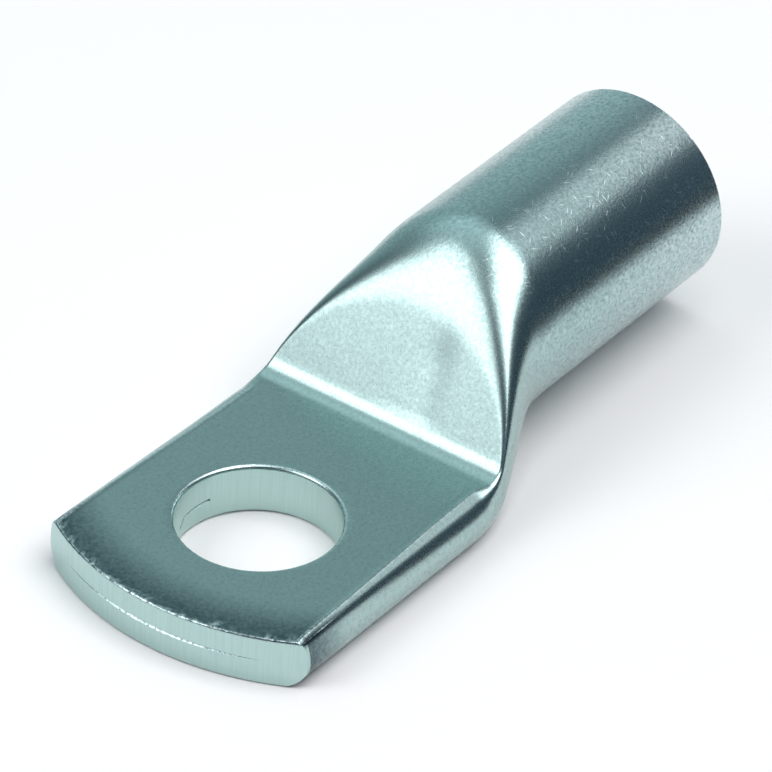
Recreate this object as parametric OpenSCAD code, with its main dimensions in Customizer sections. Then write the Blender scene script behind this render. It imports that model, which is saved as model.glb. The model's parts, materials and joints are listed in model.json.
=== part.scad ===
// Tubular cable lug: one length of copper tube. The cable end stays round, and the other end
// is pressed flat between a straight ramp and a level bed, and is then punched for a stud.
// The frame has its origin on the stud hole's axis at the underside of the palm, +X towards
// the cable and +Z up.

/* [Tube] */
// Outside diameter of the round barrel
barrel_od = 14; // [13:0.1:15]
// Wall of the tube
wall = 2; // [1.6:0.05:2.3]
// Height of the barrel's axis above the palm's underside
barrel_z = 7.4; // [7:0.05:8]
// Distance from the stud hole's axis to the cut end of the barrel
barrel_end = 40; // [34:0.1:60]
// Break on the outer edge of the barrel's mouth
mouth_break = 0.1; // [0.05:0.01:0.3]
// Lead-in chamfer inside the barrel's mouth
mouth_lead = 0.4; // [0.1:0.05:0.8]
// Where the tube is fully round again, from the stud hole's axis
round_from = 24; // [23:0.1:27]

/* [Palm] */
// Width across the flattened tube
palm_w = 20; // [18:0.1:21]
// Thickness of the two pressed layers
palm_t = 3.55; // [3.2:0.05:4]
// Distance from the stud hole's axis to the foremost point of the palm
palm_nose = 10.9; // [9:0.1:13]
// Radius of the sheared front edge
nose_r = 18.4; // [12:0.1:40]
// Softness of the palm's upper edges at the nose
nose_edge_soft = 0.9; // [0.6:0.05:1.6]
// Softness of the palm's upper edges just before the bend
bend_edge_soft = 1.2; // [0.8:0.05:2.4]
// How far above the palm the folded sides would close at the nose, had the press not flattened them
nose_fold_rise = 1.6; // [1.2:0.1:2.6]
// How far above the palm they would close just before the bend
bend_fold_rise = 1; // [0.8:0.1:2]
// How far in from the side the folded edges' rounding reaches on the underside
fold_round = 1.6; // [1:0.1:2.4]
// Small break on the sheared front edge's top and bottom
nose_break = 0.15; // [0.05:0.01:0.3]

/* [Stud hole] */
// Diameter of the stud hole
stud_hole_d = 10.5; // [8.4:0.1:11]
// Small break around the hole's rims
hole_break = 0.2; // [0.05:0.01:0.4]
// Width of the ring round the hole where the punch has smeared the two layers together
smear_w = 0.35; // [0.2:0.05:0.6]
// Length of the crack that the smearing leaves in the hole's wall
crack_len = 2.4; // [1:0.1:4]
// Bearing of the crack from the barrel's side
crack_turn = 88; // [0:1:360]

/* [Ramp] */
// Where the palm's top would meet the ramp if the bend were sharp
bend_x = 12.6; // [12:0.1:13.5]
// Angle of the ramp above the palm
ramp_angle = 58; // [52:1:63]
// Inside radius of the bend between the palm and the ramp
bend_r = 1.8; // [1:0.05:2.4]
// Softness of the ridges beside the ramp, where they rise from the bend
ridge_soft = 0.8; // [0.6:0.05:1.4]
// Softness of the crest where the ramp runs out into the barrel
crest_soft = 4; // [3:0.1:5]

/* [Seam] */
// Gap left between the two pressed layers
seam_gap = 0.1; // [0.06:0.01:0.16]
// Half of the seam's width, out to where the tube is folded over
seam_half_w = 7.5; // [7:0.1:7.8]

/* [Hidden] */
$fn = 96;
// How far a cutter runs past the face that it cuts
over = 1;
// Tiny step where the pressed stretch meets the true round of the barrel and of its bore
step = 0.01;
// Power that squares up the side curve of a flattened section; 1 is an ellipse
flat_power = 0.4;
// The tube's sides draw in over this stretch, which starts a little before the bend
draw_lead = 2.7;
draw_len = 11.3;
draw_power = 1.25;
// The closing sides rise to the barrel's top over this stretch
rise_lead = 0.3;
rise_len = 7.6;
// The underside starts to leave its flat bed this far past the bend's start
lift_lag = 1.1;
// The palm's soft edges sharpen into the ramp's ridges from this far before the bend
ridge_lead = 1.5;
// A ridge never sits higher than this share of the way up the side curve
ridge_limit = 0.85;
barrel_r = barrel_od / 2;
bore_r = barrel_r - wall;
barrel_low = barrel_z - barrel_r;
barrel_top = barrel_z + barrel_r;
half_w = palm_w / 2;
nose_x = nose_r - palm_nose;
slope = tan(ramp_angle);
bend_start = bend_x - bend_r * tan(ramp_angle / 2);
bend_end = bend_start + bend_r * sin(ramp_angle);
draw_from = bend_start - draw_lead;
draw_to = draw_from + draw_len;
rise_from = bend_start - rise_lead;
rise_to = rise_from + rise_len;
ramp_wall = wall / cos(ramp_angle);
seam_low = (palm_t - seam_gap) / 2;
seam_high = (palm_t + seam_gap) / 2;
throat_from = bend_x + (seam_high - palm_t + ramp_wall) / slope;
// Points round half a section: underside, its flat bed, the side up to the ridge, and the top
low_steps = 14;
bed_steps = 4;
side_steps = 14;
top_steps = 12;
open_steps = 12;
// Sections along the tube, close together where it bends
palm_steps = 6;
neck_steps = 4;
neck_len = 2;
bend_steps = 8;
ramp_steps = 22;
throat_steps = 16;

function clamp(v) = min(1, max(0, v));
function ease(v) = let (u = clamp(v)) u * u * (3 - 2 * u);
function ease_out(v) = let (u = clamp(v)) u * (2 - u);
function mix(a, b, u) = a + (b - a) * u;
function soft_min(a, b, k) = let (d = max(0, k - abs(a - b))) min(a, b) - d * d / (4 * k);
function along(x, from, to) = (x - from) / (to - from);

// Side view: level palm, a round bend, then the straight ramp
function ramp_z(x) = palm_t + (x - bend_x) * slope;
function press_z(x) =
    x < bend_start ? palm_t :
    x < bend_end ? palm_t + bend_r - sqrt(bend_r * bend_r - pow(x - bend_start, 2)) :
    ramp_z(x);

// Body of the tube before the ramp cuts it, from flat palm to round barrel
function body_low(x) = mix(0, barrel_low + step, ease(along(x, bend_start, round_from)));
function body_half_w(x) =
    mix(half_w, barrel_r - step, ease(pow(clamp(along(x, draw_from, draw_to)), draw_power)));
function fold_rise(x) = mix(nose_fold_rise, bend_fold_rise, ease(along(x, -palm_nose, draw_from)));
function body_top(x) =
    mix(palm_t + fold_rise(x), barrel_top - step, ease_out(along(x, rise_from, rise_to)));
function body_mid(x) = (body_low(x) + soft_min(press_z(x), barrel_top - step, crest_soft)) / 2;
function side_power(x) = mix(flat_power, 1, ease(along(x, rise_from, rise_to)));
function roundness(x) = clamp(along(x, bend_start + lift_lag, draw_to));

// Softness of the edge between the pressed face and the side curve
function edge_softness(x) = mix(nose_edge_soft, bend_edge_soft, ease(along(x, -palm_nose, draw_from)));
function ridge_softness(x) = mix(ridge_soft, crest_soft, ease(along(ramp_z(x), palm_t, barrel_top)));
function softness(x) =
    mix(edge_softness(x), ridge_softness(x), ease(along(x, bend_start - ridge_lead, bend_end)));
function ridge_turn(x) =
    asin(min(ridge_limit, (press_z(x) - body_mid(x)) / (body_top(x) - body_mid(x))));

// Half of a section, from the bottom centre round the side to the top centre
function low_point(x, i) =
    let (
        turn = 90 * i / low_steps,
        fold = max(0, 90 * (i - bed_steps) / (low_steps - bed_steps)),
        a = body_half_w(x),
        h = body_mid(x) - body_low(x),
        flat_y = (a - fold_round) * min(1, i / bed_steps) + fold_round * sin(fold),
        flat_z = body_mid(x) - h * cos(fold),
        round_y = a * sin(turn),
        round_z = body_mid(x) - h * cos(turn)
    )
    [mix(flat_y, round_y, roundness(x)), mix(flat_z, round_z, roundness(x))];

function high_point(x, turn) =
    let (
        y = turn == 90 ? 0 : body_half_w(x) * pow(cos(turn), side_power(x)),
        z = mix(body_mid(x), body_top(x), sin(turn))
    )
    [y, soft_min(z, press_z(x), softness(x))];

function half_section(x) =
    let (ridge = ridge_turn(x))
    concat(
        [for (i = [0:low_steps]) low_point(x, i)],
        [for (i = [1:side_steps]) high_point(x, ridge * i / side_steps)],
        [for (i = [1:top_steps]) high_point(x, mix(ridge, 90, i / top_steps))]
    );

function middle(r) = [for (k = [0:2]) (min([for (p = r) p[k]]) + max([for (p = r) p[k]])) / 2];

function ring(half, x) =
    let (last = len(half) - 1)
    concat(
        [for (i = [0:last]) [x, -half[i][0], half[i][1]]],
        [for (i = [last - 1:-1:1]) [x, half[i][0], half[i][1]]]
    );

module loft(rings) {
    count = len(rings[0]);
    last = len(rings) - 1;
    total = count * len(rings);
    points = concat([for (r = rings) each r], [middle(rings[0]), middle(rings[last])]);
    sides = [
        for (k = [0:last - 1], i = [0:count - 1])
            let (a = k * count + i, b = k * count + (i + 1) % count)
            each [[a, b, b + count], [a, b + count, a + count]]
    ];
    near = [for (i = [0:count - 1]) [(i + 1) % count, i, total]];
    far = [for (i = [0:count - 1]) [last * count + i, last * count + (i + 1) % count, total + 1]];
    polyhedron(points, concat(near, far, sides), convexity = 6);
}

module pressed_body() {
    neck_from = bend_start - neck_len;
    palm = [for (i = [0:palm_steps]) mix(-palm_nose - over, neck_from, i / palm_steps)];
    neck = [for (i = [1:neck_steps - 1]) mix(neck_from, bend_start, i / neck_steps)];
    bend = [for (i = [0:bend_steps]) bend_start + bend_r * sin(ramp_angle * i / bend_steps)];
    ramp = [for (i = [1:ramp_steps]) mix(bend_end, round_from, i / ramp_steps)];
    loft([for (x = concat(palm, neck, bend, ramp)) ring(half_section(x), x)]);
}

module barrel() {
    round_len = barrel_end - round_from;
    translate([round_from, 0, barrel_z])
        rotate([0, 90, 0])
            rotate_extrude()
                polygon([
                    [0, 0],
                    [barrel_r, 0],
                    [barrel_r, round_len - mouth_break],
                    [barrel_r - mouth_break, round_len],
                    [0, round_len]
                ]);
}

// Sheared front edge, with its top and bottom broken a little
module nose_trim() {
    difference() {
        translate([-palm_nose - 2 * over, -palm_w, -over])
            cube([palm_nose + 2 * over, 2 * palm_w, palm_t + 2 * over]);
        translate([nose_x, 0, 0]) {
            cylinder(r1 = nose_r - nose_break, r2 = nose_r, h = nose_break);
            translate([0, 0, nose_break])
                cylinder(r = nose_r, h = palm_t - 2 * nose_break);
            translate([0, 0, palm_t - nose_break])
                cylinder(r1 = nose_r, r2 = nose_r - nose_break, h = nose_break);
        }
    }
}

module stud_hole() {
    hole_r = stud_hole_d / 2;
    translate([0, 0, -over])
        cylinder(r = hole_r, h = palm_t + 2 * over);
    for (side = [0, 1])
        translate([0, 0, side * palm_t])
            mirror([0, 0, 1 - side])
                translate([0, 0, -hole_break])
                    cylinder(r1 = hole_r, r2 = hole_r + 2 * hole_break, h = 2 * hole_break);
}

// Inside of the tube: a straight bore, a throat under the ramp and the closed seam
function throat_turn(x) = ease(along(x, throat_from, round_from));
function throat_low(x) = mix(seam_low, barrel_low + wall + step, throat_turn(x));
function throat_high(x) =
    max(seam_high, soft_min(ramp_z(x) - ramp_wall, barrel_top - wall - step, crest_soft));

function throat_half_section(x) =
    let (
        mid = (throat_low(x) + throat_high(x)) / 2,
        h = (throat_high(x) - throat_low(x)) / 2,
        a = mix(seam_half_w, bore_r - step, throat_turn(x)),
        power = mix(flat_power, 1, throat_turn(x))
    )
    [
        for (i = [-open_steps:open_steps])
            let (turn = 90 * i / open_steps)
            [abs(turn) == 90 ? 0 : a * pow(cos(turn), power), mid + h * sin(turn)]
    ];

module throat() {
    seam = [-palm_nose - 2 * over, 0, throat_from];
    open = [for (i = [1:throat_steps]) mix(throat_from, round_from, i / throat_steps)];
    difference() {
        loft([for (x = concat(seam, open)) ring(throat_half_section(x), x)]);
        smeared_wall();
    }
}

// The punch smears the two layers together round the hole, but for one short crack
module smeared_wall() {
    smear_r = stud_hole_d / 2 + smear_w;
    difference() {
        cylinder(r = smear_r, h = palm_t);
        rotate(crack_turn)
            translate([0, -crack_len / 2, -over])
                cube([2 * smear_r, crack_len, palm_t + 2 * over]);
    }
}

module bore() {
    translate([round_from, 0, barrel_z])
        rotate([0, 90, 0])
            cylinder(r = bore_r, h = barrel_end - round_from + over);
    translate([barrel_end - mouth_lead, 0, barrel_z])
        rotate([0, 90, 0])
            cylinder(r1 = bore_r, r2 = bore_r + 2 * mouth_lead, h = 2 * mouth_lead);
}

lug_colour = [0.66, 0.72, 0.73];

module lug() {
    color(lug_colour)
        difference() {
            union() {
                pressed_body();
                barrel();
            }
            nose_trim();
            stud_hole();
            throat();
            bore();
        }
}

lug();
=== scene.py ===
import json
import math

import bmesh
import bpy
from mathutils import Matrix, Vector, noise


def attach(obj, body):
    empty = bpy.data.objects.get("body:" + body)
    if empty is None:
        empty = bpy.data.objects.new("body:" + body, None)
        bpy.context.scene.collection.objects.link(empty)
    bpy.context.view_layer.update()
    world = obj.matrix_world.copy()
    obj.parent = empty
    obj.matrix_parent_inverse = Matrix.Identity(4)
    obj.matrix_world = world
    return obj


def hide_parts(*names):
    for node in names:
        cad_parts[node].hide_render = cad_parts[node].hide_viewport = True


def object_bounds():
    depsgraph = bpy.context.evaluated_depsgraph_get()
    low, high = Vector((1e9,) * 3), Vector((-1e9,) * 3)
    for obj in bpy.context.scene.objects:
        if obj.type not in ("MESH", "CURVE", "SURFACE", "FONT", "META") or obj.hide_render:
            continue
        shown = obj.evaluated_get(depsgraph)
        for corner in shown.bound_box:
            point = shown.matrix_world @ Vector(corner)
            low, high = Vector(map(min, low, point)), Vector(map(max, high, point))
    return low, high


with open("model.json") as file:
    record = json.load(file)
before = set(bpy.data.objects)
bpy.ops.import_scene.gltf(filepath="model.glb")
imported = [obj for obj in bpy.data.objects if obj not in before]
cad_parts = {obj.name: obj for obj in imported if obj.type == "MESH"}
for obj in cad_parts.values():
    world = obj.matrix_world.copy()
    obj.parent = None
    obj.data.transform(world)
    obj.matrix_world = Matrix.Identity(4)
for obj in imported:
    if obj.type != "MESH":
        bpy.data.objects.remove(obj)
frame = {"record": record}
cadLow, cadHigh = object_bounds()
mounts = {m["name"]: m for m in frame["record"]["mounts"]}
print("frame loaded:", [round(v * 1000, 2) for v in (*cadLow, *cadHigh)], "mm")

# The shapes are worked out in millimetres and brought to metres at the end
toMm = 1000
toMetres = 0.001
weldGap = 0.00001

# The tube, taken from the frame: the box and the two bores give the main sizes
tube = {
    "noseX": cadLow.x * toMm,
    "mouthX": cadHigh.x * toMm,
    "halfWidth": cadHigh.y * toMm,
    "barrelTop": cadHigh.z * toMm,
    "axisZ": mounts["cable_bore"]["pos_m"][2] * toMm,
    "boreRadius": mounts["cable_bore"]["dims"]["r_mm"],
    "holeRadius": mounts["stud_hole"]["dims"]["r_mm"],
    "palmThickness": 3.55,
    "roundFrom": 24,
    "mouthBreak": 0.1,
    "mouthLead": 0.4,
    "noseRadius": 18.4,
}
tube["barrelRadius"] = tube["barrelTop"] - tube["axisZ"]
tube["noseCentreX"] = tube["noseX"] + tube["noseRadius"]

# How the press shapes the tube between the flat palm and the round barrel
press = {
    "bendX": 12.6,
    "rampAngle": math.radians(58),
    "bendRadius": 1.8,
    "noseSoft": 0.55,      # softness of the palm's long edges at the nose
    "neckSoft": 0.5,       # and just before the bend
    "noseRise": 2.2,       # how far above the palm the folded sides would close
    "neckRise": 1.0,
    "ridgeSoft": 0.8,      # ridges beside the ramp
    "crestSoft": 5.2,      # crest where the ramp runs out
    "foldRound": 1.6,      # rounding of the folded sides on the underside
    "flatPower": 0.4,      # squares up the sides of a flattened section; 1 is an ellipse
    "drawLead": 2.7,       # the sides draw in from a little before the bend
    "drawLength": 11.3,
    "drawPower": 1.25,
    "riseLead": 0.3,       # the closing sides rise to the barrel's top
    "riseLength": 7.6,
    "riseSoft": 0.14,
    "liftLag": 1.1,        # the underside rounds up from a little past the bend
    "ridgeLead": 1.5,
    "ridgeLimit": 0.85,
    "lipHeight": 0.05,     # the die leaves a low lip along the palm's long edges
    "lipInset": 0.3,
    "lipWidth": 0.16,
    "lipEnd": 1.5,
    "neckReach": 2,        # sections stand closer over this stretch before the bend
    "throatLag": 2,        # the inside is open from this far past the bend
}
press["slope"] = math.tan(press["rampAngle"])
press["bendStart"] = press["bendX"] - press["bendRadius"] * math.tan(press["rampAngle"] / 2)
press["bendEnd"] = press["bendStart"] + press["bendRadius"] * math.sin(press["rampAngle"])

# Points round half a section, and sections along the tube
mesh = {"low": 20, "bed": 5, "side": 28, "top": 34, "palm": 26, "neck": 10, "bend": 18, "ramp": 56,
        "bore": 96, "throat": 24}


def clamp(v):
    return min(1, max(0, v))


def ease(v):
    return clamp(v) ** 2 * (3 - 2 * clamp(v))


def easeOut(v):
    return clamp(v) * (2 - clamp(v))


def mix(a, b, share):
    return a + (b - a) * share


def along(x, start, length):
    return (x - start) / length


def softMin(a, b, reach):
    return min(a, b) - max(0, reach - abs(a - b)) ** 2 / (4 * reach)


def pressHeight(x):
    # level palm, a round bend, then the straight ramp
    if x < press["bendStart"]:
        return tube["palmThickness"]
    if x < press["bendEnd"]:
        r = press["bendRadius"]
        return tube["palmThickness"] + r - math.sqrt(r * r - (x - press["bendStart"]) ** 2)
    return tube["palmThickness"] + (x - press["bendX"]) * press["slope"]


def sectionSizes(x):
    # half width, underside, middle and closing top of the tube, and how round it is there
    start = press["bendStart"]
    drawStart = start - press["drawLead"]
    riseShare = along(x, start - press["riseLead"], press["riseLength"])
    drawn = ease(clamp(along(x, drawStart, press["drawLength"])) ** press["drawPower"])
    low = mix(0, tube["axisZ"] - tube["barrelRadius"], ease(along(x, start, tube["roundFrom"] - start)))
    palmShare = ease(along(x, tube["noseX"], drawStart - tube["noseX"]))
    closing = tube["palmThickness"] + mix(press["noseRise"], press["neckRise"], palmShare)
    top = mix(closing, tube["barrelTop"], easeOut(-softMin(-riseShare, 0, press["riseSoft"])))
    pressed = softMin(pressHeight(x), tube["barrelTop"], press["crestSoft"])
    liftStart = start + press["liftLag"]
    return {
        "half": mix(tube["halfWidth"], tube["barrelRadius"], drawn),
        "low": low,
        "middle": (low + pressed) / 2,
        "top": top,
        "power": mix(press["flatPower"], 1, ease(riseShare)),
        "round": clamp(along(x, liftStart, drawStart + press["drawLength"] - liftStart)),
    }


def edgeSoftness(x):
    palmShare = along(x, tube["noseX"], press["bendStart"] - press["drawLead"] - tube["noseX"])
    palmSoft = mix(press["noseSoft"], press["neckSoft"], ease(palmShare))
    height = along(pressHeight(x), tube["palmThickness"], tube["barrelTop"] - tube["palmThickness"])
    rampSoft = mix(press["ridgeSoft"], press["crestSoft"], ease(height))
    ridgeStart = press["bendStart"] - press["ridgeLead"]
    return mix(palmSoft, rampSoft, ease(along(x, ridgeStart, press["bendEnd"] - ridgeStart)))


def lipHeight(x):
    # dies away just before the bend
    reach = press["lipEnd"]
    return press["lipHeight"] * (1 - ease(along(x, press["bendStart"] - reach, reach)))


def tubeSection(x):
    # the whole outline at x as (y, z), from the bottom centre round one side and back on the other
    s = sectionSizes(x)
    height = s["middle"] - s["low"]
    half = []
    for i in range(mesh["low"] + 1):
        turn = math.pi / 2 * i / mesh["low"]
        fold = max(0, math.pi / 2 * (i - mesh["bed"]) / (mesh["low"] - mesh["bed"]))
        bed = (s["half"] - press["foldRound"]) * min(1, i / mesh["bed"])
        flatY = bed + press["foldRound"] * math.sin(fold)
        flatZ = s["middle"] - height * math.cos(fold)
        roundZ = s["middle"] - height * math.cos(turn)
        half.append((mix(flatY, s["half"] * math.sin(turn), s["round"]), mix(flatZ, roundZ, s["round"])))
    level = min(press["ridgeLimit"], (pressHeight(x) - s["middle"]) / (s["top"] - s["middle"]))
    ridge = math.asin(level)
    turns = [ridge * i / mesh["side"] for i in range(1, mesh["side"] + 1)]
    turns += [mix(ridge, math.pi / 2, i / mesh["top"]) for i in range(1, mesh["top"] + 1)]
    ridgeY = s["half"] * math.cos(ridge) ** s["power"]
    for turn in turns:
        y = s["half"] * max(0, math.cos(turn)) ** s["power"] if turn < turns[-1] else 0
        z = mix(s["middle"], s["top"], math.sin(turn))
        lip = lipHeight(x) * math.exp(-((ridgeY - press["lipInset"] - y) / press["lipWidth"]) ** 2)
        half.append((y, softMin(z, pressHeight(x), edgeSoftness(x)) + lip))
    return [(-y, z) for y, z in half] + half[-2:0:-1]


def loft(name, sections):
    # a skin over rings that lie across the X axis, closed at both ends
    bm = bmesh.new()
    previous = None
    for x, outline in sections:
        made = bmesh.ops.create_circle(bm, segments=len(outline), radius=1)
        for vert, (y, z) in zip(made["verts"], outline):
            vert.co = (x, y, z)
        edges = list({e for v in made["verts"] for e in v.link_edges})
        if previous:
            bmesh.ops.bridge_loops(bm, edges=previous + edges)
        previous = edges
    bmesh.ops.holes_fill(bm, edges=[e for e in bm.edges if e.is_boundary])
    return finishMesh(name, bm)


def revolve(name, profile, steps, centreX=0, start=0, angle=360, lift=0):
    # a profile of (radius, z) points turned about an upright axis
    bm = bmesh.new()
    turned = Matrix.Translation((centreX, 0, 0)) @ Matrix.Rotation(math.radians(start), 4, "Z")
    verts = [bm.verts.new(turned @ Vector((r, 0, z))) for r, z in profile]
    bm.faces.new(verts)
    full = angle == 360
    geom = bm.edges[:] if full else bm.faces[:] + bm.edges[:] + bm.verts[:]
    if full:
        bmesh.ops.delete(bm, geom=bm.faces[:], context="FACES_ONLY")
    bmesh.ops.spin(bm, geom=geom, cent=(centreX, 0, 0), axis=(0, 0, 1), angle=math.radians(angle),
                   steps=steps, dvec=(0, 0, lift / steps), use_merge=full)
    bmesh.ops.remove_doubles(bm, verts=bm.verts, dist=weldGap)
    return finishMesh(name, bm)


def finishMesh(name, bm):
    bmesh.ops.recalc_face_normals(bm, faces=bm.faces)
    made = bpy.data.meshes.new(name)
    bm.to_mesh(made)
    bm.free()
    piece = bpy.data.objects.new(name, made)
    bpy.context.scene.collection.objects.link(piece)
    return piece


def arcPoints(centreR, centreZ, radius, start, end, steps=5):
    turns = [math.radians(mix(start, end, i / steps)) for i in range(steps + 1)]
    return [(centreR + radius * math.cos(a), centreZ + radius * math.sin(a)) for a in turns]


def outerTube():
    start = press["bendStart"]
    end = press["bendEnd"]
    neckFrom = start - press["neckReach"]
    shoulder = tube["mouthX"] - tube["mouthBreak"]
    blankEnd = tube["noseX"] - cutter["past"]
    stations = [mix(blankEnd, neckFrom, i / mesh["palm"]) for i in range(mesh["palm"])]
    stations += [mix(neckFrom, start, i / mesh["neck"]) for i in range(mesh["neck"])]
    stations += [start + press["bendRadius"] * math.sin(press["rampAngle"] * i / mesh["bend"])
                 for i in range(mesh["bend"])]
    stations += [mix(end, tube["roundFrom"], i / mesh["ramp"]) for i in range(mesh["ramp"] + 1)]
    sections = [(x, tubeSection(x)) for x in stations + [shoulder]]
    shrink = 1 - tube["mouthBreak"] / tube["barrelRadius"]
    mouth = [(y * shrink, mix(tube["axisZ"], z, shrink)) for y, z in sections[-1][1]]
    return loft("platedTube", sections + [(tube["mouthX"], mouth)])


def throatSection(x):
    # the space inside the tube, which closes to nothing under the ramp
    wall = tube["barrelRadius"] - tube["boreRadius"]
    rampWall = wall / math.cos(press["rampAngle"])
    seamZ = tube["palmThickness"] / 2
    start = press["bendX"] + (seamZ - tube["palmThickness"] + rampWall) / press["slope"]
    share = ease(along(x, start, tube["roundFrom"] - start))
    low = mix(seamZ, tube["axisZ"] - tube["boreRadius"], share)
    roof = softMin(pressHeight(x) - rampWall, tube["axisZ"] + tube["boreRadius"], press["crestSoft"])
    middle = (low + max(seamZ, roof)) / 2
    height = (max(seamZ, roof) - low) / 2
    half = mix(seam["halfWidth"], tube["boreRadius"], share)
    power = mix(press["flatPower"], 1, share)
    turns = [2 * math.pi * i / mesh["bore"] for i in range(mesh["bore"])]
    return [(math.copysign(half * abs(math.sin(a)) ** power, -math.sin(a)), middle - height * math.cos(a))
            for a in turns]


def boreTool():
    closing = press["bendX"] + press["throatLag"]
    stations = [mix(closing, tube["roundFrom"], i / mesh["throat"]) for i in range(mesh["throat"] + 1)]
    sections = [(x, throatSection(x)) for x in stations + [tube["mouthX"] - tube["mouthLead"]]]
    grow = 1 + 2 * tube["mouthLead"] / tube["boreRadius"]
    lead = [(y * grow, mix(tube["axisZ"], z, grow)) for y, z in sections[-1][1]]
    return loft("boreTool", sections + [(tube["mouthX"] + tube["mouthLead"], lead)])


# The punched hole and the sheared front edge, with the seam between the two layers
punch = {
    "rimRound": 0.28,
    "noseRound": 0.16,
    "burrHeight": 0.05,
    "burrGrain": 2.6,
    "rollDepth": 0.12,     # the shear draws the palm's top down towards the nose
    "rollReach": 1.1,
}
seam = {
    "halfWidth": 7.5,
    "height": 1.78,
    "depth": 0.15,
    "upperLip": 0.05,      # opening above and below the seam's line
    "lowerLip": 0.14,
    "radius": 20.3,        # flatter than the nose, so that the groove runs out at its ends
    "turn": 23,
}
crack = {
    "depth": 0.25,
    "open": 0.1,
    "start": 72,
    "turn": 26,
    "height": 1.56,
    "fall": 0.13,          # it drops this far along its length, and its end hooks down
    "hookTurn": 6,
    "hookFall": 0.55,
}
# How far each cutter runs past the face that it cuts, and how many steps it turns in
cutter = {
    "past": 1,
    "holeSteps": 144,
    "nosePast": 6,
    "noseTurn": 45,
    "noseSteps": 240,
    "seamPast": 0.8,
    "seamSteps": 130,
    "crackPast": 0.5,
    "crackSteps": 12,
}


def holeTool():
    top = tube["palmThickness"]
    rim = punch["rimRound"]
    wide = tube["holeRadius"] + rim
    past = cutter["past"]
    profile = [(0, -past), (wide, -past), *arcPoints(wide, rim, rim, 270, 180)]
    profile += [*arcPoints(wide, top - rim, rim, 180, 90), (wide, top + past), (0, top + past)]
    return revolve("holeTool", profile, steps=cutter["holeSteps"])


def noseTool():
    top = tube["palmThickness"]
    r = tube["noseRadius"]
    edge = punch["noseRound"]
    past = cutter["past"]
    far = r + cutter["nosePast"]
    profile = [(r - edge, -past), *arcPoints(r - edge, edge, edge, 270, 360)]
    profile += [*arcPoints(r - edge, top - edge, edge, 0, 90), (r - edge, top + past)]
    profile += [(far, top + past), (far, -past)]
    return revolve("noseTool", profile, centreX=tube["noseCentreX"], start=180 - cutter["noseTurn"],
                   angle=2 * cutter["noseTurn"], steps=cutter["noseSteps"])


def seamTool():
    # a narrow groove whose lower lip faces up and catches the light
    r = seam["radius"]
    z = seam["height"]
    past = cutter["seamPast"]
    grow = (seam["depth"] + past) / seam["depth"]
    profile = [(r - seam["depth"], z), (r + past, z + seam["upperLip"] * grow),
               (r + past, z - seam["lowerLip"] * grow)]
    return revolve("seamTool", profile, centreX=tube["noseX"] + r, start=180 - seam["turn"],
                   angle=2 * seam["turn"], steps=cutter["seamSteps"])


def crackTool(name, start, turn, height, fall):
    # a thin wedge into the hole's wall, where the seam tore open under the punch
    r = tube["holeRadius"]
    past = cutter["crackPast"]
    grow = (crack["depth"] + past) / crack["depth"]
    profile = [(r + crack["depth"], height), (r - past, height + crack["open"] * grow),
               (r - past, height - crack["open"] * grow)]
    return revolve(name, profile, start=start, angle=turn, steps=cutter["crackSteps"], lift=-fall)


def cut(piece, tools):
    for tool in tools:
        step = piece.modifiers.new(tool.name, "BOOLEAN")
        step.operation = "DIFFERENCE"
        step.solver = "EXACT"
        step.object = tool
    shown = piece.evaluated_get(bpy.context.evaluated_depsgraph_get())
    shaped = bpy.data.meshes.new_from_object(shown)
    piece.modifiers.clear()
    piece.data = shaped
    for tool in tools:
        bpy.data.objects.remove(tool)


lug = outerTube()
print("pressed tube:", len(lug.data.polygons), "faces")
hookStart = crack["start"] + crack["turn"]
hookHeight = crack["height"] - crack["fall"]
cut(lug, [
    holeTool(),
    noseTool(),
    seamTool(),
    boreTool(),
    crackTool("crackTool", crack["start"], crack["turn"], crack["height"], crack["fall"]),
    crackTool("hookTool", hookStart, crack["hookTurn"], hookHeight, crack["hookFall"]),
])
print("cut:", len(lug.data.polygons), "faces")


# What the press and the shear left on the surface
marks = {
    "dimpleX": 15.1,
    "dimpleY": -2.1,
    "dimpleDepth": 0.06,
    "dimpleReach": 1.1,
    "dimpleRun": 2.6,      # it is longer down the ramp
    "rampFacing": 0.3,
    "rollEnd": 6,
    "edgeSlack": 0.01,
    "fineGrain": 7,
    "fineShare": 0.6,
    "fineSlice": 5,
    "inward": 0.6,
}
sharpTurn = math.radians(38)
wornTurn = math.radians(11)


def pressMarks(piece):
    # a shallow dimple on the ramp, and the palm's top drawn down to a ragged edge along the shear
    bm = bmesh.new()
    bm.from_mesh(piece.data)
    centre = Vector((tube["noseCentreX"], 0))
    edgeReach = punch["noseRound"] + marks["edgeSlack"]
    for vert in bm.verts:
        x, y, z = vert.co
        facesUp = vert.normal.z > marks["rampFacing"] and vert.normal.x < -marks["rampFacing"]
        if x > press["bendEnd"] and facesUp:
            below = marks["dimpleRun"] if x < marks["dimpleX"] else 1
            away = math.hypot((x - marks["dimpleX"]) / below, y - marks["dimpleY"])
            depth = marks["dimpleDepth"] * math.exp(-(away / marks["dimpleReach"]) ** 2)
            vert.co -= vert.normal * depth
        edgeGap = tube["noseRadius"] - (Vector((x, y)) - centre).length
        atTop = x < 0 and z > tube["palmThickness"] - edgeReach
        if atTop and edgeGap < marks["rollEnd"]:
            vert.co.z -= punch["rollDepth"] * math.exp(-max(0, edgeGap) / punch["rollReach"])
        if atTop and edgeGap < edgeReach:
            grain = noise.noise(Vector((x, y, 0)) * punch["burrGrain"])
            fine = noise.noise(Vector((x, y, marks["fineSlice"])) * marks["fineGrain"])
            grain = min(0, grain + marks["fineShare"] * fine)
            vert.co.xy += vert.normal.xy * punch["burrHeight"] * grain * marks["inward"]
            vert.co.z += punch["burrHeight"] * grain
    bm.to_mesh(piece.data)
    bm.free()


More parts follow.
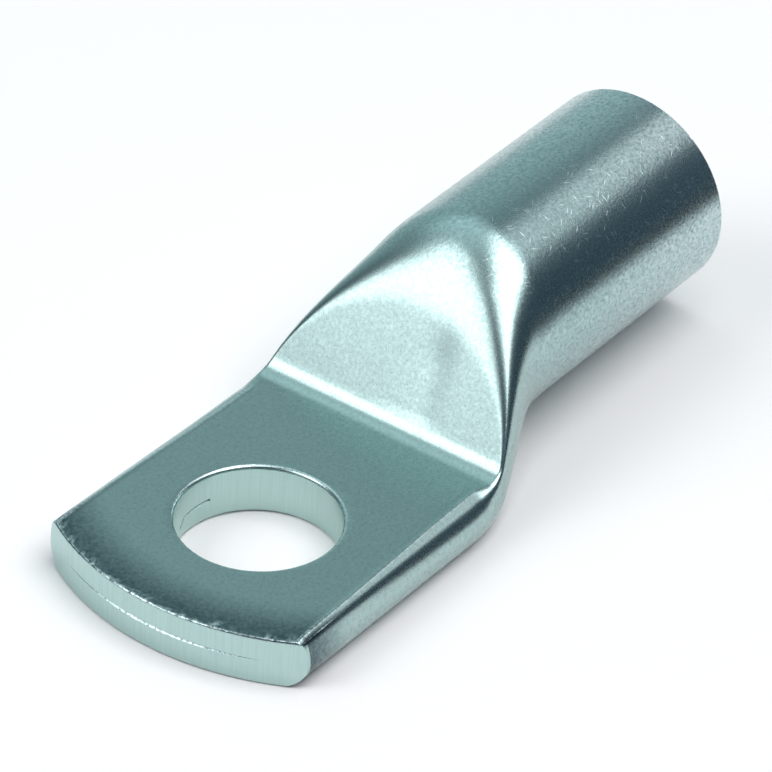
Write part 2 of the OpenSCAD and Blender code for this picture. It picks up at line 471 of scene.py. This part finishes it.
def shadeSmooth(piece):
    # smooth skin with crisp corners, and a mask along the worn edges
    bm = bmesh.new()
    bm.from_mesh(piece.data)
    worn = bm.verts.layers.float.new("wornEdge")
    for face in bm.faces:
        face.smooth = True
    for edge in bm.edges:
        turn = edge.calc_face_angle(0)
        edge.smooth = turn < sharpTurn
        if turn > wornTurn:
            for vert in edge.verts:
                vert[worn] = 1
    bm.to_mesh(piece.data)
    bm.free()
    weighted = piece.modifiers.new("weightedNormals", "WEIGHTED_NORMAL")
    weighted.keep_sharp = True


pressMarks(lug)
lug.data.transform(Matrix.Scale(toMetres, 4))
shadeSmooth(lug)
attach(lug, "root")
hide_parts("lug")
print("lug shaped:", len(lug.data.polygons), "faces")


# Node helpers, and the effects that the finishes share
vectorSocket = "NodeSocketVector"
numberSocket = "NodeSocketFloat"
nodeSpacing = 190
nickTurns = (0.5, 1.6, 2.5)
nickCore = 0.12        # a nick is whole to this distance from its middle, in cells
nickFade = 0.3         # and gone at this one
lineStretch = 0.25     # steps of noise for each millimetre up a wall, so that its lines run upright


def feed(tree, socket, value):
    if isinstance(value, bpy.types.NodeSocket):
        tree.links.new(value, socket)
    else:
        socket.default_value = value


def addNode(tree, kind, place, settings=None, **inputs):
    node = tree.nodes.new(kind)
    node.location = (place[0] * nodeSpacing, place[1] * nodeSpacing)
    for name, value in (settings or {}).items():
        setattr(node, name, value)
    for name, value in inputs.items():
        numbered = name[0] == "i" and name[1:].isdigit()
        feed(tree, node.inputs[int(name[1:]) if numbered else name], value)
    return node


def newGroup(name, inputs, outputs):
    tree = bpy.data.node_groups.new(name, "ShaderNodeTree")
    for label, kind, value in inputs:
        socket = tree.interface.new_socket(label, in_out="INPUT", socket_type=kind)
        if value is not None:
            socket.default_value = value
    for label in outputs:
        tree.interface.new_socket(label, in_out="OUTPUT", socket_type=numberSocket)
    return tree, tree.nodes.new("NodeGroupInput").outputs, tree.nodes.new("NodeGroupOutput").inputs


def tumbledGrain():
    # fine pits of the tumbled plating over slow unevenness of the tube, heights in millimetres
    tree, given, made = newGroup("tumbledGrain", [
        ("Place", vectorSocket, None), ("Pit Size", numberSocket, 0.2), ("Pit Depth", numberSocket, 0.001),
        ("Wave Size", numberSocket, 2.5), ("Wave Depth", numberSocket, 0.004)], ["Grain", "Height"])
    pitScale = addNode(tree, "ShaderNodeMath", (1, 0), {"operation": "DIVIDE"},
                       i0=1.0, i1=given["Pit Size"])
    pits = addNode(tree, "ShaderNodeTexNoise", (2, 0), Vector=given["Place"], Scale=pitScale.outputs[0],
                   Detail=5.0, Roughness=0.65)
    waveScale = addNode(tree, "ShaderNodeMath", (1, -1), {"operation": "DIVIDE"},
                        i0=1.0, i1=given["Wave Size"])
    waves = addNode(tree, "ShaderNodeTexNoise", (2, -1), Vector=given["Place"], Scale=waveScale.outputs[0],
                    Detail=2.0, Roughness=0.5)
    pitHeight = addNode(tree, "ShaderNodeMath", (3, 0), {"operation": "MULTIPLY"},
                        i0=pits.outputs[0], i1=given["Pit Depth"])
    total = addNode(tree, "ShaderNodeMath", (4, 0), {"operation": "MULTIPLY_ADD"},
                    i0=waves.outputs[0], i1=given["Wave Depth"], i2=pitHeight.outputs[0])
    tree.links.new(pits.outputs[0], made["Grain"])
    tree.links.new(total.outputs[0], made["Height"])
    return tree


def fineScratches():
    # short straight nicks in three directions, one here and there
    tree, given, made = newGroup("fineScratches", [
        ("Place", vectorSocket, None), ("Length", numberSocket, 1.6), ("Width", numberSocket, 0.16),
        ("Share", numberSocket, 0.2)], ["Mask"])
    across = addNode(tree, "ShaderNodeMath", (0, 1), {"operation": "DIVIDE"}, i0=1.0, i1=given["Width"])
    lengthways = addNode(tree, "ShaderNodeMath", (0, 2), {"operation": "DIVIDE"},
                         i0=1.0, i1=given["Length"])
    size = addNode(tree, "ShaderNodeCombineXYZ", (1, 1), X=lengthways.outputs[0], Y=across.outputs[0],
                   Z=across.outputs[0])
    marked = None
    for step, turn in enumerate(nickTurns):
        turned = addNode(tree, "ShaderNodeVectorRotate", (1, -step), {"rotation_type": "Z_AXIS"},
                         Vector=given["Place"], Angle=turn)
        sized = addNode(tree, "ShaderNodeVectorMath", (2, -step), {"operation": "MULTIPLY"},
                        i0=turned.outputs[0], i1=size.outputs[0])
        cells = addNode(tree, "ShaderNodeTexVoronoi", (3, -step), {"voronoi_dimensions": "2D"},
                        Vector=sized.outputs[0], Scale=1.0)
        line = addNode(tree, "ShaderNodeMapRange", (4, -step), {"interpolation_type": "SMOOTHSTEP"},
                       i0=cells.outputs["Distance"], i1=nickCore, i2=nickFade, i3=1.0, i4=0.0)
        pick = addNode(tree, "ShaderNodeSeparateColor", (4, -step - 0.5), i0=cells.outputs["Color"])
        chosen = addNode(tree, "ShaderNodeMath", (5, -step - 0.5), {"operation": "LESS_THAN"},
                         i0=pick.outputs[0], i1=given["Share"])
        kept = addNode(tree, "ShaderNodeMath", (6, -step), {"operation": "MULTIPLY"},
                       i0=line.outputs[0], i1=chosen.outputs[0])
        marked = kept if marked is None else addNode(
            tree, "ShaderNodeMath", (7, -step), {"operation": "MAXIMUM"},
            i0=marked.outputs[0], i1=kept.outputs[0])
    tree.links.new(marked.outputs[0], made["Mask"])
    return tree


def shearLines():
    # lines that run up a punched wall, set round an upright axis
    tree, given, made = newGroup("shearLines", [
        ("Place", vectorSocket, None), ("Centre X", numberSocket, 0.0), ("Lines", numberSocket, 90.0)],
        ["Lines"])
    parts = addNode(tree, "ShaderNodeSeparateXYZ", (0, 0), i0=given["Place"])
    fromCentre = addNode(tree, "ShaderNodeMath", (1, 0), {"operation": "SUBTRACT"},
                         i0=parts.outputs[0], i1=given["Centre X"])
    turn = addNode(tree, "ShaderNodeMath", (2, 0), {"operation": "ARCTAN2"},
                   i0=parts.outputs[1], i1=fromCentre.outputs[0])
    spread = addNode(tree, "ShaderNodeMath", (3, 0), {"operation": "MULTIPLY"},
                     i0=turn.outputs[0], i1=given["Lines"])
    rise = addNode(tree, "ShaderNodeMath", (3, -1), {"operation": "MULTIPLY"},
                   i0=parts.outputs[2], i1=lineStretch)
    strip = addNode(tree, "ShaderNodeCombineXYZ", (4, 0), X=spread.outputs[0], Y=rise.outputs[0])
    lines = addNode(tree, "ShaderNodeTexNoise", (5, 0), {"noise_dimensions": "2D"}, Vector=strip.outputs[0],
                    Scale=1.0, Detail=2.0, Roughness=0.6)
    tree.links.new(lines.outputs[0], made["Lines"])
    return tree


groups = {"grain": tumbledGrain(), "scratches": fineScratches(), "shear": shearLines()}


def effect(tree, name, place, **inputs):
    node = addNode(tree, "ShaderNodeGroup", place, {"node_tree": groups[name]})
    for label, value in inputs.items():
        feed(tree, node.inputs[label.replace("_", " ")], value)
    return node


def newMaterial(name):
    material = bpy.data.materials.new(name)
    material.use_nodes = True
    tree = material.node_tree
    tree.nodes.clear()
    place = addNode(tree, "ShaderNodeTexCoord", (-8, 0))
    millimetres = addNode(tree, "ShaderNodeVectorMath", (-7, 0), {"operation": "SCALE"},
                          i0=place.outputs["Object"], Scale=toMm)
    shader = addNode(tree, "ShaderNodeBsdfPrincipled", (3, 0))
    output = addNode(tree, "ShaderNodeOutputMaterial", (5, 0))
    tree.links.new(shader.outputs[0], output.inputs[0])
    return material, tree, millimetres.outputs[0], shader


def blendColours(tree, place, share, first, second):
    return addNode(tree, "ShaderNodeMix", place, {"data_type": "RGBA"},
                   i0=share, i6=first, i7=second).outputs[2]


plating = {
    "light": (0.43, 0.57, 0.555, 1),
    "dark": (0.34, 0.46, 0.45, 1),
    "speckLight": (0.46, 0.62, 0.61, 1),
    "speckDark": (0.28, 0.39, 0.4, 1),
    "barrelFrom": 4,           # the speckle sets in between these distances past the bend
    "barrelFull": 9,
    "grainRange": (0.35, 0.65),
    "worn": (0.62, 0.74, 0.74, 1),
    # colour of the dark grainy band on the palm beside the sheared nose
    "darkBand": (0.06, 0.1, 0.115, 1),
    "darkBandReach": (4, 0.3),    # from the nose's edge
    "darkBandFront": (-3.0, -5.0),
    "darkBandShare": (0.95, 0.7),
    "nick": (0.85, 1, 1, 1),
    "nickLength": 1.1,
    "nickWidth": 0.15,
    "nickShare": 0.04,
    "nickSide": (0.5, -2.5),   # nicks lie on the near side of the barrel, above its middle
    "nickRise": (2, 4),
    "nickDepth": 0.003,
    "smooth": (0.25, 0.215),   # roughness on the palm and on the barrel
    "rough": (0.28, 0.32),
    "pitSize": 0.24,
    "pitDepth": (0.002, 0.012),
    "waveSize": 2.6,
    "waveDepth": 0.006,
}


def noseDarkBand(tree, parts, tone):
    # a dark grainy band on the palm beside the sheared nose
    fromCentre = addNode(tree, "ShaderNodeMath", (-6, 5), {"operation": "SUBTRACT"},
                         i0=parts.outputs[0], i1=tube["noseCentreX"])
    flat = addNode(tree, "ShaderNodeCombineXYZ", (-5, 5), X=fromCentre.outputs[0], Y=parts.outputs[1])
    far = addNode(tree, "ShaderNodeVectorMath", (-4, 5), {"operation": "LENGTH"}, i0=flat.outputs[0])
    nearNose = addNode(tree, "ShaderNodeMapRange", (-3, 5), {"interpolation_type": "SMOOTHSTEP"},
                       i0=far.outputs["Value"], i1=tube["noseRadius"] - plating["darkBandReach"][0],
                       i2=tube["noseRadius"] - plating["darkBandReach"][1])
    atFront = addNode(tree, "ShaderNodeMapRange", (-3, 6), i0=parts.outputs[0],
                      i1=plating["darkBandFront"][0], i2=plating["darkBandFront"][1])
    patchy = addNode(tree, "ShaderNodeMapRange", (-3, 4), i0=tone.outputs[0],
                     i3=plating["darkBandShare"][0], i4=plating["darkBandShare"][1])
    both = addNode(tree, "ShaderNodeMath", (-2, 5), {"operation": "MULTIPLY"},
                   i0=nearNose.outputs[0], i1=atFront.outputs[0])
    return addNode(tree, "ShaderNodeMath", (-2, 4), {"operation": "MULTIPLY"},
                   i0=both.outputs[0], i1=patchy.outputs[0]).outputs[0]


def tinPlating():
    material, tree, place, shader = newMaterial("tinPlating")
    parts = addNode(tree, "ShaderNodeSeparateXYZ", (-7, 2), i0=place)
    onBarrel = addNode(tree, "ShaderNodeMapRange", (-7, 3), i0=parts.outputs[0],
                       i1=press["bendEnd"] + plating["barrelFrom"],
                       i2=press["bendEnd"] + plating["barrelFull"]).outputs[0]

    def towardsBarrel(part, height):
        # a plating value that changes from the palm to the barrel
        onPalm, onTube = plating[part]
        return addNode(tree, "ShaderNodeMapRange", (-6, height), i0=onBarrel, i3=onPalm, i4=onTube).outputs[0]

    grain = effect(tree, "grain", (-5, 1), Place=place, Pit_Size=plating["pitSize"],
                   Pit_Depth=towardsBarrel("pitDepth", 2), Wave_Size=plating["waveSize"],
                   Wave_Depth=plating["waveDepth"])
    grainLow, grainHigh = plating["grainRange"]
    overAxis = addNode(tree, "ShaderNodeMath", (-8, -2), {"operation": "SUBTRACT"},
                       i0=parts.outputs[2], i1=tube["axisZ"])
    turn = addNode(tree, "ShaderNodeMath", (-7, -2), {"operation": "ARCTAN2"},
                   i0=parts.outputs[1], i1=overAxis.outputs[0])
    girth = addNode(tree, "ShaderNodeMath", (-6, -2), {"operation": "MULTIPLY"},
                    i0=turn.outputs[0], i1=tube["barrelRadius"])
    unrolled = addNode(tree, "ShaderNodeCombineXYZ", (-6, -1), X=parts.outputs[0], Y=girth.outputs[0])
    scratches = effect(tree, "scratches", (-5, -1), Place=unrolled.outputs[0],
                       Length=plating["nickLength"], Width=plating["nickWidth"], Share=plating["nickShare"])
    tone = addNode(tree, "ShaderNodeMapRange", (-3, 1), i0=grain.outputs["Grain"], i1=grainLow,
                   i2=grainHigh)
    darkTone = blendColours(tree, (-4, 3), onBarrel, plating["dark"], plating["speckDark"])
    lightTone = blendColours(tree, (-4, 2), onBarrel, plating["light"], plating["speckLight"])
    colour = blendColours(tree, (-2, 1), tone.outputs[0], darkTone, lightTone)
    worn = addNode(tree, "ShaderNodeAttribute", (-5, 3), {"attribute_name": "wornEdge"})
    edge = addNode(tree, "ShaderNodeMath", (-3, 3), {"operation": "MULTIPLY"}, i0=worn.outputs["Fac"],
                   i1=tone.outputs[0])
    # the palm's colour goes dark in a grainy band beside the sheared nose
    darkBanded = noseDarkBand(tree, parts, tone)
    colour = blendColours(tree, (-1, 2), darkBanded, colour, plating["darkBand"])
    colour = blendColours(tree, (-1, 1), edge.outputs[0], colour, plating["worn"])
    rough = addNode(tree, "ShaderNodeMapRange", (-2, -0.5), i0=grain.outputs["Grain"], i1=grainLow,
                    i2=grainHigh, i3=towardsBarrel("rough", 0), i4=towardsBarrel("smooth", -0.5))
    sideShare = addNode(tree, "ShaderNodeMapRange", (-3, 8), i0=parts.outputs[1],
                        i1=plating["nickSide"][0], i2=plating["nickSide"][1], i4=onBarrel)
    highShare = addNode(tree, "ShaderNodeMapRange", (-2, 8), i0=parts.outputs[2],
                        i1=tube["axisZ"] + plating["nickRise"][0],
                        i2=tube["axisZ"] + plating["nickRise"][1], i4=sideShare.outputs[0])
    nicked = addNode(tree, "ShaderNodeMath", (-1, 3), {"operation": "MULTIPLY"},
                     i0=scratches.outputs["Mask"], i1=highShare.outputs[0])
    colour = blendColours(tree, (1, 2), nicked.outputs[0], colour, plating["nick"])
    height = addNode(tree, "ShaderNodeMath", (-2, -2), {"operation": "MULTIPLY_ADD"},
                     i0=nicked.outputs[0], i1=-plating["nickDepth"], i2=grain.outputs["Height"])
    bump = addNode(tree, "ShaderNodeBump", (0, -2), Distance=toMetres, Height=height.outputs[0])
    tree.links.new(colour, shader.inputs["Base Color"])
    tree.links.new(rough.outputs[0], shader.inputs["Roughness"])
    tree.links.new(bump.outputs[0], shader.inputs["Normal"])
    shader.inputs["Metallic"].default_value = 1
    return material


# The punched wall of the hole and the sheared nose
sheared = {
    "light": (0.47, 0.64, 0.61, 1),
    "dark": (0.44, 0.6, 0.575, 1),
    "toneRange": (0.35, 0.65),
    "lineDepth": 0.0002,
    "pitSize": 0.2,
    "pitDepth": 0.001,
    "waveSize": 1.8,
    "waveDepth": 0.004,
    "roughness": 0.34,
    "holeLines": 60,
    "noseLines": 150,
    "upright": 0.5,            # how far a wall's normal may lean
    "noseSlack": 0.1,
    "noseBefore": -5,
}


def shearedTin(name, centreX, lines):
    material, tree, place, shader = newMaterial(name)
    shear = effect(tree, "shear", (-5, 1), Place=place, Centre_X=centreX, Lines=lines)
    grain = effect(tree, "grain", (-5, -1), Place=place, Pit_Size=sheared["pitSize"],
                   Pit_Depth=sheared["pitDepth"], Wave_Size=sheared["waveSize"],
                   Wave_Depth=sheared["waveDepth"])
    tone = addNode(tree, "ShaderNodeMapRange", (-3, 1), i0=shear.outputs["Lines"],
                   i1=sheared["toneRange"][0], i2=sheared["toneRange"][1])
    colour = blendColours(tree, (-1, 1), tone.outputs[0], sheared["dark"], sheared["light"])
    height = addNode(tree, "ShaderNodeMath", (-2, -2), {"operation": "MULTIPLY_ADD"},
                     i0=shear.outputs["Lines"], i1=sheared["lineDepth"], i2=grain.outputs["Height"])
    bump = addNode(tree, "ShaderNodeBump", (0, -2), Distance=toMetres, Height=height.outputs[0])
    tree.links.new(colour, shader.inputs["Base Color"])
    tree.links.new(bump.outputs[0], shader.inputs["Normal"])
    shader.inputs["Metallic"].default_value = 1
    shader.inputs["Roughness"].default_value = sheared["roughness"]
    return material


def dressLug():
    # material 0 is the plating, 1 the hole's wall and 2 the nose
    lug.data.materials.append(tinPlating())
    lug.data.materials.append(shearedTin("punchedWall", 0, sheared["holeLines"]))
    lug.data.materials.append(shearedTin("shearedNose", tube["noseCentreX"], sheared["noseLines"]))
    noseCentre = Vector((tube["noseCentreX"], 0))
    noseFrom = tube["noseRadius"] - punch["noseRound"] - sheared["noseSlack"]
    for face in lug.data.polygons:
        middle = face.center * toMm
        onWall = abs(face.normal.z) < sheared["upright"] and middle.z < tube["palmThickness"]
        inHole = onWall and middle.xy.length < tube["holeRadius"] + punch["rimRound"]
        atNose = onWall and middle.x < sheared["noseBefore"] and (middle.xy - noseCentre).length > noseFrom
        face.material_index = 1 if inHole else 2 if atNose else 0


dressLug()
print("lug dressed")

# The studio: a pale floor, three soft lamps, a dark card, and a room that is pale behind the lug
# and glows above it
studio = {
    "floor": (0.96, 0.93, 0.93, 1),
    "floorSize": 3,
    "floorDrop": 0.00002,
    "card": (0.02, 0.03, 0.04, 1),
    "matte": 0.9,
    "roomBlack": (0, 0, 0, 1),
    "roomDark": (0.04, 0.07, 0.1, 1),
    "roomPale": (0.46, 0.62, 0.64, 1),
    "roomGlow": (0.72, 0.88, 0.88, 1),
    "paleSide": (52, 12),
    "paleReach": 0.6,
    "glowSide": (80, 62),
    "glowReach": 0.85,
    "overhead": {"turn": 285, "rise": 69, "away": 0.7, "width": 0.6, "height": 0.6, "radiance": 3.4},
    "side": {"turn": 145, "rise": 40, "away": 0.7, "width": 0.43, "height": 0.49, "radiance": 3.0},
    "strip": {"turn": 345, "rise": 46, "away": 0.7, "width": 0.36, "height": 0.3, "radiance": 0.8},
    "flag": {"turn": 312, "away": 0.05, "beside": (0.03, -0.006), "length": 0.14, "height": 0.01},
}


def direction(turn, rise):
    a = math.radians(turn)
    e = math.radians(rise)
    return Vector((math.cos(a) * math.cos(e), math.sin(a) * math.cos(e), math.sin(e)))


def softLamp(name, turn, rise, away, width, height, radiance):
    lamp = bpy.data.lights.new(name, "AREA")
    lamp.shape = "RECTANGLE"
    lamp.size = width
    lamp.size_y = height
    lamp.energy = radiance * math.pi * width * height
    placed = bpy.data.objects.new(name, lamp)
    placed.location = direction(turn, rise) * away
    placed.rotation_euler = direction(turn, rise).to_track_quat("Z", "Y").to_euler()
    placed.visible_camera = False
    bpy.context.scene.collection.objects.link(placed)


def paleFloor():
    # one-sided, so that the lug can be looked at from below
    bm = bmesh.new()
    bmesh.ops.create_grid(bm, x_segments=1, y_segments=1, size=studio["floorSize"])
    bmesh.ops.translate(bm, verts=bm.verts, vec=(0, 0, -studio["floorDrop"]))
    floor = finishMesh("paleFloor", bm)
    material, tree, _, shader = newMaterial("paleFloor")
    shader.inputs["Base Color"].default_value = studio["floor"]
    shader.inputs["Roughness"].default_value = studio["matte"]
    shader.inputs["Specular IOR Level"].default_value = 0
    facing = addNode(tree, "ShaderNodeNewGeometry", (2, 2))
    through = addNode(tree, "ShaderNodeBsdfTransparent", (3, 2))
    output = tree.nodes["Material Output"]
    oneSided = addNode(tree, "ShaderNodeMixShader", (4, 1), i0=facing.outputs["Backfacing"],
                       i1=shader.outputs[0], i2=through.outputs[0])
    tree.links.new(oneSided.outputs[0], output.inputs[0])
    floor.data.materials.append(material)


def blackFlag(turn, away, beside, length, height):
    # a low dark card beyond the picture's edge, which the barrel's side mirrors
    bm = bmesh.new()
    bmesh.ops.create_grid(bm, x_segments=1, y_segments=1, size=0.5)
    place = direction(turn, 0) * away + Vector((*beside, height / 2))
    upright = direction(turn, 0).to_track_quat("Z", "Y").to_matrix().to_4x4()
    sized = Matrix.Diagonal((length, height, 1, 1))
    bmesh.ops.transform(bm, matrix=Matrix.Translation(place) @ upright @ sized, verts=bm.verts)
    flag = finishMesh("blackFlag", bm)
    material, _, _, shader = newMaterial("blackCard")
    shader.inputs["Base Color"].default_value = studio["card"]
    shader.inputs["Roughness"].default_value = studio["matte"]
    flag.data.materials.append(material)
    flag.visible_camera = False


def room():
    world = bpy.data.worlds.new("room")
    bpy.context.scene.world = world
    world.use_nodes = True
    tree = world.node_tree
    tree.nodes.clear()
    place = addNode(tree, "ShaderNodeTexCoord", (0, 0))
    shares = []
    for row, part in enumerate(("pale", "glow")):
        towards = addNode(tree, "ShaderNodeVectorMath", (1, -row), {"operation": "DOT_PRODUCT"},
                          i0=place.outputs["Generated"], i1=direction(*studio[part + "Side"]))
        shares.append(addNode(tree, "ShaderNodeMapRange", (2, -row), i0=towards.outputs["Value"],
                              i1=studio[part + "Reach"], i2=1.0).outputs[0])
    pale = blendColours(tree, (3, 0), shares[0], studio["roomDark"], studio["roomPale"])
    glow = blendColours(tree, (3, -1), shares[1], studio["roomBlack"], studio["roomGlow"])
    colour = addNode(tree, "ShaderNodeMix", (3.5, 0), {"data_type": "RGBA", "blend_type": "ADD"},
                     i0=1.0, i6=pale, i7=glow)
    background = addNode(tree, "ShaderNodeBackground", (4, 0), Color=colour.outputs[2])
    output = addNode(tree, "ShaderNodeOutputWorld", (5, 0))
    tree.links.new(background.outputs[0], output.inputs[0])


# The photograph's camera: where it stands, what it looks at, its tilt and its lens
photo = {
    "stand": (-0.253276, -0.186669, 0.242353),
    "aim": (0.014438, 0.001037, 0.005),
    "tilt": math.radians(2.8306),
    "lens": 298.9,
    "sensor": 36,
    "near": 0.01,
    "far": 10,
}


def photoCamera():
    data = bpy.data.cameras.new("photoCamera")
    data.lens = photo["lens"]
    data.sensor_width = photo["sensor"]
    data.clip_start = photo["near"]
    data.clip_end = photo["far"]
    camera = bpy.data.objects.new("photoCamera", data)
    look = Vector(photo["aim"]) - Vector(photo["stand"])
    level = look.to_track_quat("-Z", "Y").to_matrix().to_4x4()
    turned = level @ Matrix.Rotation(photo["tilt"], 4, "Z")
    camera.matrix_world = Matrix.Translation(photo["stand"]) @ turned
    bpy.context.scene.collection.objects.link(camera)
    bpy.context.scene.camera = camera


paleFloor()
blackFlag(**studio["flag"])
room()
softLamp("overheadLamp", **studio["overhead"])
softLamp("sideLamp", **studio["side"])
softLamp("stripLamp", **studio["strip"])
photoCamera()
bpy.context.scene.view_settings.view_transform = "Standard"
print("studio and camera ready")
